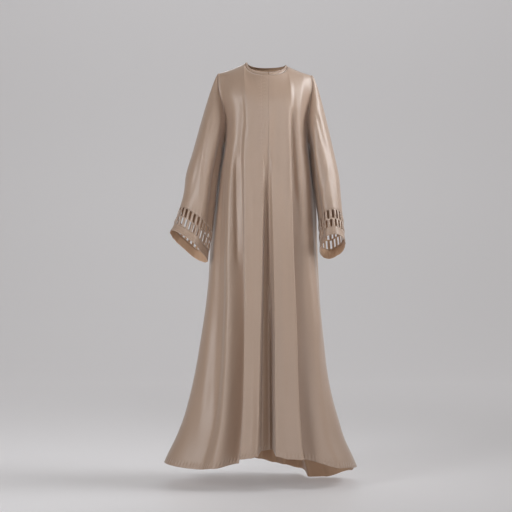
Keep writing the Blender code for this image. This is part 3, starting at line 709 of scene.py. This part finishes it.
def cloth_material(name):
    """Satin: a fine weave, soft drape, uneven tone, and rows of stitches where the look has them."""
    look = LOOKS[name]
    shader = Shader(name)
    across = shader.attribute("across")
    above = shader.attribute("above")
    weave = shader.noise(across, shader.math("MULTIPLY", above, WEAVE_RUN), WEAVE_LINES, 0.0)
    run = shader.math("MULTIPLY", above, DRAPE_RUN)
    heights = [
        shader.math("MULTIPLY", weave, WEAVE_HEIGHT),
        shader.math("MULTIPLY", shader.noise(across, run, DRAPE_SCALE), DRAPE_HEIGHT),
        shader.math("MULTIPLY", shader.noise(across, run, RUMPLE_SCALE), RUMPLE_HEIGHT),
    ]
    tone = shader.math("MULTIPLY", shader.noise(across, above, TONE_SCALE), TONE_SHARE)
    slub = shader.math("MULTIPLY", shader.noise(across, run, SLUB_SCALE), SLUB_SHARE)
    tones = [tone, slub]
    if look.hem_line:
        line = shader.math("SUBTRACT", above, look.hem_line)
        height, thread = stitch_line(shader, across, line, look.pucker)
        heights.append(height)
        tones.append(shader.math("MULTIPLY", thread, THREAD_TONE))
    if look.edge_line:
        aside = shader.math("SUBTRACT", shader.attribute("aside"), look.edge_line)
        height, thread = stitch_line(shader, above, aside, PLACKET_PUCKER)
        upper = shader.math("GREATER_THAN", above, PLACKET_LENGTH)
        heights.append(shader.math("MULTIPLY", height, upper))
        thread = shader.math("MULTIPLY", thread, upper)
        tones.append(shader.math("MULTIPLY", thread, THREAD_TONE))
    value = shader.math("ADD", 1.0, shader.total(tones))
    tint = shader.nodes.new("ShaderNodeVectorMath")
    tint.operation = "SCALE"
    tint.inputs[0].default_value = look.colour
    shader.links.new(value, tint.inputs["Scale"])
    shader.links.new(tint.outputs[0], shader.bsdf.inputs["Base Color"])
    rough = shader.math("ADD", look.roughness, shader.math("MULTIPLY", tone, TONE_ROUGHNESS))
    shader.links.new(rough, shader.bsdf.inputs["Roughness"])
    shader.bsdf.inputs["Specular IOR Level"].default_value = look.specular
    shader.bsdf.inputs["Sheen Weight"].default_value = SHEEN_WEIGHT
    shader.bsdf.inputs["Sheen Roughness"].default_value = SHEEN_ROUGHNESS
    bump = shader.nodes.new("ShaderNodeBump")
    bump.inputs["Distance"].default_value = 1.0
    shader.links.new(shader.total(heights), bump.inputs["Height"])
    shader.links.new(bump.outputs[0], shader.bsdf.inputs["Normal"])
    return shader.material


MATERIALS = {name: cloth_material(name) for name in LOOKS}


def parted(points, closed=False):
    """The points with their outer rows and columns drawn in, so that neighbours don't touch."""
    result = points.copy()
    result[0] += unit(points[1] - points[0]) * SEAM_DRAW
    result[-1] += unit(points[-2] - points[-1]) * SEAM_DRAW
    if not closed:
        result[:, 0] += unit(points[:, 1] - points[:, 0]) * SEAM_DRAW
        result[:, -1] += unit(points[:, -2] - points[:, -1]) * SEAM_DRAW
    return result


def make_body():
    """The two fronts and the back. Gives the panels' armhole edges for the sleeves."""
    front = panel_points(FRONT_FOLDS, True, FRONT_DENSITY)
    back = panel_points(BACK_FOLDS, False, BACK_DENSITY)
    centre = FRONT_DENSITY * sum(
        fold.cells for fold in FRONT_FOLDS[: [fold.name for fold in FRONT_FOLDS].index("centre")]
    )
    normals = grid_normals(front)
    front = creased(front, normals, FRONT_CREASES)
    back = creased(back, grid_normals(back), BACK_CREASES)
    first = centre - LAP_CELLS * FRONT_DENSITY
    left = front[:, first:].copy()
    lap = slice(0, centre - first + 1)
    left[:, lap] -= normals[:, first : centre + 1] * LAP_STEP
    fronts = {"front_right": front[:, : centre + 1], "front_left": left}
    for name, points in fronts.items():
        look = "satin_placket" if name == "front_right" else "satin"
        obj = add_piece(mesh_of(name + "_cloth", parted(points)), "satin", [name], look)
    obj = add_piece(mesh_of("back_cloth", parted(back)), "satin", ["back"])
    edge = slice(0, ARMHOLE_ROWS * ROW_DENSITY + 1)
    return {
        -1: (front[edge, 0], back[edge, -1]),
        1: (front[edge, -1], back[edge, 0]),
    }


SIDES = (("right", -1, RIGHT_RINGS, RIGHT_SLEEVE_FOLDS), ("left", 1, LEFT_RINGS, LEFT_SLEEVE_FOLDS))


def band_rows():
    """The rows of the band of windows: their heights from 0 to 1, and the kind of each row of cells."""
    window_share = (1 - 2 * RAIL_SHARE - MID_BAR_SHARE) / 2
    heights = []
    kinds = []
    start = 0.0
    for kind, share, count in (
        ("rail", RAIL_SHARE, RAIL_ROWS),
        ("upper", window_share, CELL_ROWS),
        ("rail", MID_BAR_SHARE, RAIL_ROWS),
        ("lower", window_share, CELL_ROWS),
        ("rail", RAIL_SHARE, RAIL_ROWS),
    ):
        for step in range(count):
            heights.append((start + share * step / count, kind, step / count))
            kinds.append(kind)
        start += share
    heights.append((1.0, "rail", 0.0))
    return heights, kinds


def cutwork_points(rings, folds, side):
    """The whole band of windows with its puffed strips, as a closed grid, and the cells that are open."""
    cells = 2 * WINDOWS_PER_ROW
    heights, kinds = band_rows()
    columns = cells * CELL_COLUMNS
    half = CELL_COLUMNS // 2
    number = np.arange(columns + 1)
    cell = ((number + half) // CELL_COLUMNS) % cells
    inside = ((number + half) % CELL_COLUMNS) / CELL_COLUMNS
    place = ring_place(rings, "cutwork_top")
    rows = []
    puffs = []
    for height, kind, step in heights:
        is_strip = cell % 2 == (0 if kind == "upper" else 1)
        last_edge = (inside == 0) & ~is_strip
        swell = math.sin(math.pi * step) if kind != "rail" else 0.0
        from_middle = np.where(last_edge, 0.5, inside - 0.5)
        shift = np.where(is_strip | last_edge, from_middle * STRIP_SWELL * swell, 0.0)
        shares = (number + shift * CELL_COLUMNS) / columns
        rows.append(even_ring(rings, folds, side, place + height, shares))
        puffs.append(np.where(is_strip, STRIP_PUFF * swell * np.sin(math.pi * inside), 0.0))
    points = np.array(rows)
    points[:, -1] = points[:, 0]
    outwards = grid_normals(points, True)
    if side < 0:
        outwards = -outwards
    points = points + outwards * np.array(puffs)[..., None]
    open_cells = set()
    for row, kind in enumerate(kinds):
        if kind == "rail":
            continue
        for column in range(columns):
            if (cell[column] % 2 == 1) == (kind == "upper"):
                open_cells.add((row, column if side > 0 else columns - 1 - column))
    return turned(points, side), open_cells


def cuff_points(rings, folds, side):
    """The plain band below the windows, which ripples a little towards its edge."""
    shares = np.linspace(0.0, 1.0, CUFF_COLUMNS + 1)
    first = ring_place(rings, "cuff_top")
    rows = [
        even_ring(rings, folds, side, first + step / CUFF_ROWS, shares)
        for step in range(CUFF_ROWS + 1)
    ]
    points = turned(np.array(rows), side)
    towards_edge = smooth(np.linspace(0.0, 1.0, CUFF_ROWS + 1))[:, None]
    swell = np.sin(2 * math.pi * RIPPLE_SWELLS * shares)
    height = RIPPLE_EVEN_SHARE + (1 - RIPPLE_EVEN_SHARE) * swell
    ripple = np.sin(2 * math.pi * CUFF_RIPPLES * shares) * height
    return points + grid_normals(points, True) * (CUFF_RIPPLE * towards_edge * ripple)[..., None]


def facing_creases(points, creases):
    """A tube's points with the creases on its front half alone, which fade out towards its sides."""
    normals = grid_normals(points, True)
    in_front = np.clip(-FACING_GAIN * normals[..., 1], 0.0, 1.0)
    return points + normals * (in_front * crease_field(points, creases))[..., None]


def make_sleeves(edges):
    for name, side, rings, folds in SIDES:
        points = facing_creases(sleeve_points(rings, folds, side, *edges[side]), SLEEVE_CREASES[side])
        mesh = mesh_of(f"sleeve_{name}_cloth", parted(points, True), closed=True)
        obj = add_piece(mesh, "satin", [f"sleeve_{name}"], "satin_plain")
        points, open_cells = cutwork_points(rings, folds, side)
        mesh = mesh_of(f"cutwork_{name}_cloth", parted(points, True), open_cells, closed=True)
        obj = add_piece(mesh, "strips", [f"cutwork_{name}_front", f"cutwork_{name}_back"])
        mesh = mesh_of(f"cuff_{name}_cloth", parted(cuff_points(rings, folds, side), True), closed=True)
        obj = add_piece(mesh, "satin", [f"cuff_{name}"], "cuff")


def make_neck_band():
    """One strip of binding round the neck, from the front opening by the left, the back and the right."""
    centre_top = [fold.top for fold in FRONT_FOLDS if fold.name == "centre"][0]
    notch = NECK_NOTCH / (math.pi * NECK_SEAM.half_width)
    run = [(top, True) for top in np.linspace(centre_top + notch, 1, BAND_COLUMNS)]
    run += [(top, False) for top in np.linspace(1, -1, 2 * BAND_COLUMNS)[1:-1]]
    run += [(top, True) for top in np.linspace(-1, centre_top - notch, BAND_COLUMNS)]
    edge, seam = (
        np.array([neck_point(line, top, is_front) for top, is_front in run])
        for line in (NECK_EDGE, NECK_SEAM)
    )
    rows = []
    for share in np.linspace(0, 1, BAND_ROWS + 1):
        row = mix(edge, seam, share)
        row[:, 2] += BAND_CROWN * math.sin(math.pi * share)
        rows.append(row)
    points = np.array(rows)
    obj = add_piece(mesh_of("neck_band_cloth", parted(points)), "binding", ["neck_band"])
    make_neck_loop(points[BAND_ROWS // 2, 0], points[BAND_ROWS // 2, -1])


def make_neck_loop(left, right):
    """The short thread loop that closes the band at the top of the opening."""
    middle = (left + right) / 2
    half = LOOP_REACH * unit(right - left)
    curve = bpy.data.curves.new("neck_loop", "CURVE")
    curve.dimensions = "3D"
    curve.bevel_depth = LOOP_THREAD
    curve.bevel_resolution = LOOP_BEVEL
    for lift in (-LOOP_SPACING, 0.0, LOOP_SPACING):
        spline = curve.splines.new("POLY")
        spline.points.add(LOOP_POINTS - 1)
        for number, point in enumerate(spline.points):
            share = number / (LOOP_POINTS - 1)
            place = middle + half * (2 * share - 1)
            rise = LOOP_RISE * math.sin(math.pi * share)
            point.co = (place[0], place[1] - rise, place[2] + lift, 1.0)
    curve.materials.append(MATERIALS["binding"])
    obj = bpy.data.objects.new("neck_loop", curve)
    bpy.context.scene.collection.objects.link(obj)
    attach(obj, "root")


# Studio
FLOOR_Z = -1.614
FLOOR_START = -8.0
BEND_START = 4.6
BEND_RADIUS = 2.4
BEND_STEPS = 16
WALL_HEIGHT = 9.0
STUDIO_HALF_WIDTH = 9.0
STUDIO_COLOUR = (0.560, 0.548, 0.554, 1.0)
STUDIO_GLOW = 0.36
STUDIO_ROUGHNESS = 0.50
STUDIO_SPECULAR = 0.25
CAMERA_PLACE = (-0.039, -5.8, -0.737)
CAMERA_LENS = 106.0
SENSOR_WIDTH = 36.0


def make_stage():
    """A floor that curves up into the wall behind. The wall is far enough back for views from behind."""
    mesh = bpy.data.meshes.new("studio")
    profile = [(FLOOR_START, FLOOR_Z), (BEND_START, FLOOR_Z)]
    for step in range(1, BEND_STEPS + 1):
        turn = step / BEND_STEPS * math.pi / 2
        profile.append((
            BEND_START + BEND_RADIUS * math.sin(turn),
            FLOOR_Z + BEND_RADIUS * (1 - math.cos(turn)),
        ))
    profile.append((BEND_START + BEND_RADIUS, FLOOR_Z + WALL_HEIGHT))
    vertices = [(side * STUDIO_HALF_WIDTH, y, z) for y, z in profile for side in (-1, 1)]
    faces = [(2 * i, 2 * i + 1, 2 * i + 3, 2 * i + 2) for i in range(len(profile) - 1)]
    mesh.from_pydata(vertices, [], faces)
    mesh.shade_smooth()
    floor = bpy.data.objects.new("studio", mesh)
    shader = Shader("studio")
    shader.bsdf.inputs["Base Color"].default_value = STUDIO_COLOUR
    shader.bsdf.inputs["Emission Color"].default_value = STUDIO_COLOUR
    shader.bsdf.inputs["Emission Strength"].default_value = STUDIO_GLOW
    shader.bsdf.inputs["Roughness"].default_value = STUDIO_ROUGHNESS
    shader.bsdf.inputs["Specular IOR Level"].default_value = STUDIO_SPECULAR
    mesh.materials.append(shader.material)
    bpy.context.scene.collection.objects.link(floor)


# Lamps: place, the point each one is aimed at and its size in metres, watts, and spread in degrees
Light = namedtuple("Light", "name place aim size power spread")
LIGHTS = (
    Light("key", (-3.0, -3.3, 0.3), (0, 0, -0.9), (1.3, 1.9), 80, 180),
    Light("side", (3.0, -0.35, 1.5), (0.15, 0, -0.2), (2.6, 2.2), 21, 56),
    Light("front", (0.7, -5.2, 1.5), (0.02, 0, 0.0), (1.6, 1.2), 1.5, 26),
    Light("low", (0.6, -3.4, -1.35), (0.1, 0, -1.6), (2.6, 0.4), 6, 120),
    Light("backdrop", (0.0, 3.0, 4.8), (0, 6.6, 0.2), (7.0, 1.2), 128, 180),
)
AMBIENT = 0.15
AMBIENT_COLOUR = (1.0, 0.90, 0.80, 1.0)
LAMP_COLOUR = (0.94, 0.97, 1.0)


def add_light(row):
    light = bpy.data.lights.new(row.name, "AREA")
    light.shape = "RECTANGLE"
    light.size, light.size_y = row.size
    light.energy = row.power
    light.spread = math.radians(row.spread)
    light.color = LAMP_COLOUR
    obj = bpy.data.objects.new(row.name, light)
    obj.location = row.place
    direction = np.array(row.aim) - np.array(row.place)
    obj.rotation_euler = (
        math.atan2(math.hypot(direction[0], direction[1]), -direction[2]),
        0.0,
        math.atan2(direction[0], -direction[1]) + math.pi,
    )
    bpy.context.scene.collection.objects.link(obj)


def make_studio():
    make_stage()
    world = bpy.data.worlds.new("studio")
    bpy.context.scene.world = world
    world.use_nodes = True
    world.node_tree.nodes["Background"].inputs["Color"].default_value = AMBIENT_COLOUR
    world.node_tree.nodes["Background"].inputs["Strength"].default_value = AMBIENT
    bpy.context.scene.view_settings.view_transform = "Standard"
    for light in LIGHTS:
        add_light(light)
    camera = bpy.data.cameras.new("camera")
    camera.lens = CAMERA_LENS
    camera.sensor_width = SENSOR_WIDTH
    obj = bpy.data.objects.new("camera", camera)
    obj.location = CAMERA_PLACE
    obj.rotation_euler = (math.pi / 2, 0.0, 0.0)
    bpy.context.scene.collection.objects.link(obj)
    bpy.context.scene.camera = obj


armhole_edges = make_body()
make_sleeves(armhole_edges)
make_neck_band()
make_studio()
